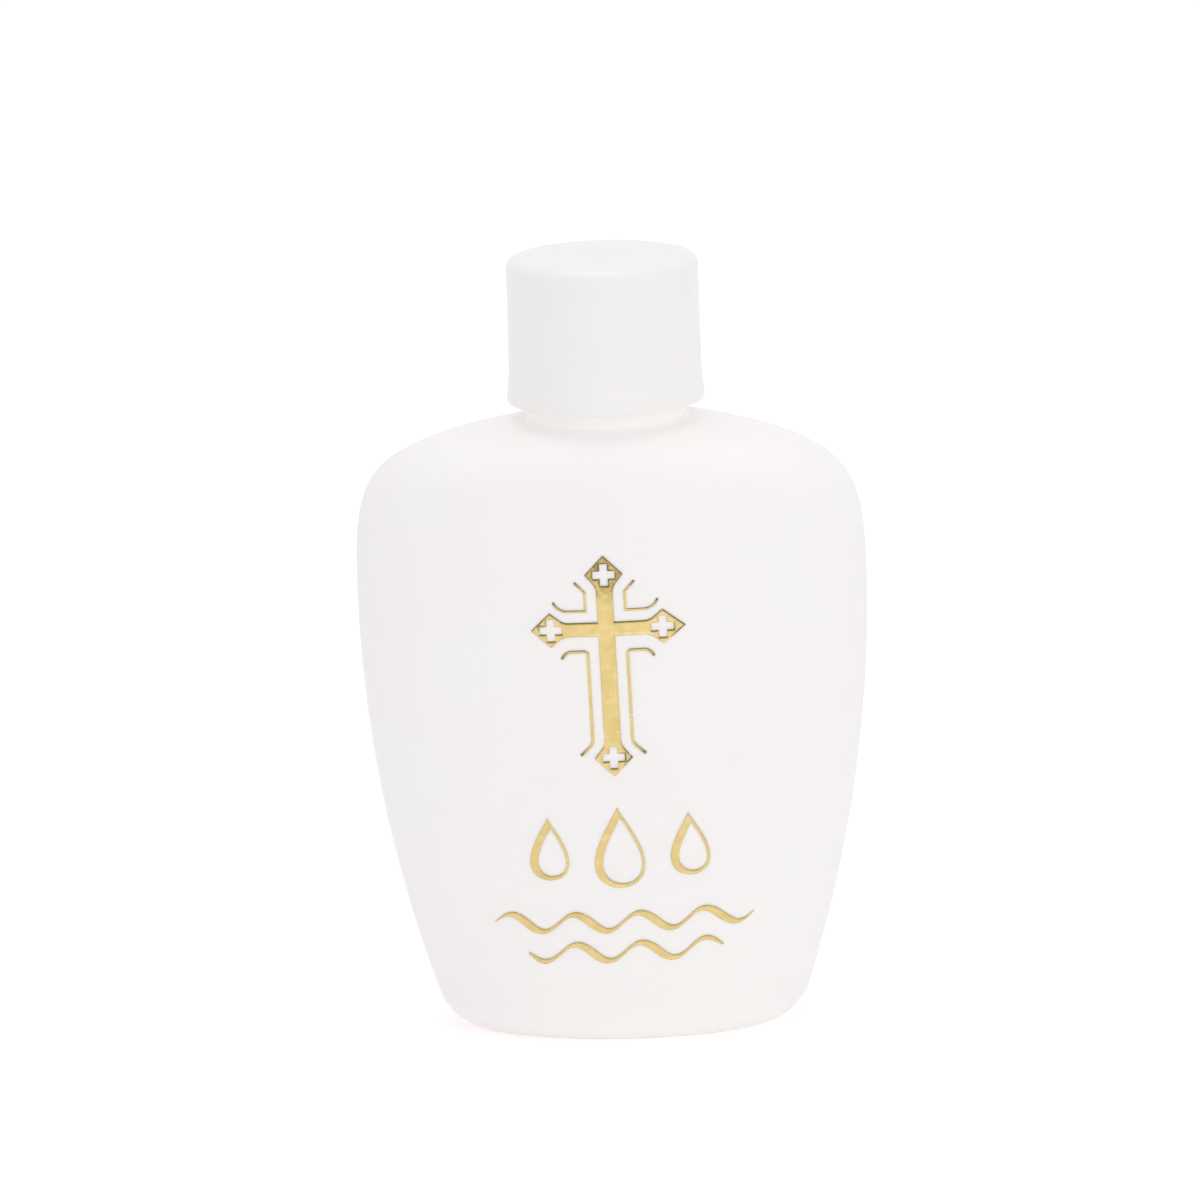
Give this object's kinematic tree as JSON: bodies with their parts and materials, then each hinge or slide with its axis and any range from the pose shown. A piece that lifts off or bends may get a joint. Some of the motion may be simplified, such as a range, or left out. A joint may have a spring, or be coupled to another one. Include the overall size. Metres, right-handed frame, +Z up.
{
  "type": "holy water bottle",
  "caption": "Flat oval milky plastic flask with rounded shoulders, a screw cap and a sealing liner, and a gold foil cross stamped on its front, for carrying blessed water.",
  "frame": {"origin": "middle of the base, on the plane that the bottle stands on", "axes": "+Z up along the neck, the stamped front faces -Y, +X to the right when the front is looked at"},
  "size_m": [0.055, 0.0261, 0.085],
  "materials": {
    "bottle_plastic": "milky translucent blow-moulded polyethylene, satin",
    "cap_plastic": "milky injection-moulded plastic, soft gloss",
    "liner_foam": "pressed white foam",
    "gold_foil": "hot-stamped gold foil, bright with fine pinholes"
  },
  "bodies": {
    "bottle": {"bottle_body": "bottle_plastic", "foil_cross": "gold_foil", "foil_stroke_upper_left": "gold_foil", "foil_stroke_upper_right": "gold_foil", "foil_stroke_lower_left": "gold_foil", "foil_stroke_lower_right": "gold_foil", "foil_drop_left": "gold_foil", "foil_drop_middle": "gold_foil", "foil_drop_right": "gold_foil", "foil_wave_upper": "gold_foil", "foil_wave_lower": "gold_foil"},
    "liner": {"cap_liner": "liner_foam"},
    "cap": {"screw_cap": "cap_plastic"}
  },
  "joints": [
    {"name": "cap_rise", "type": "slide", "parent": "bottle", "child": "liner", "axis": [0, 0, 1], "range_m": [0, 0.0159]},
    {"name": "cap_turn", "type": "hinge", "parent": "liner", "child": "cap", "pos_m": [0, 0, 0.084], "axis": [0, 0, 1], "range_deg": [0, 1800]}
  ],
  "couplings": [
    {"joint": "cap_rise", "follows": "cap_turn", "m_per_rad": 0.00050532}
  ]
}
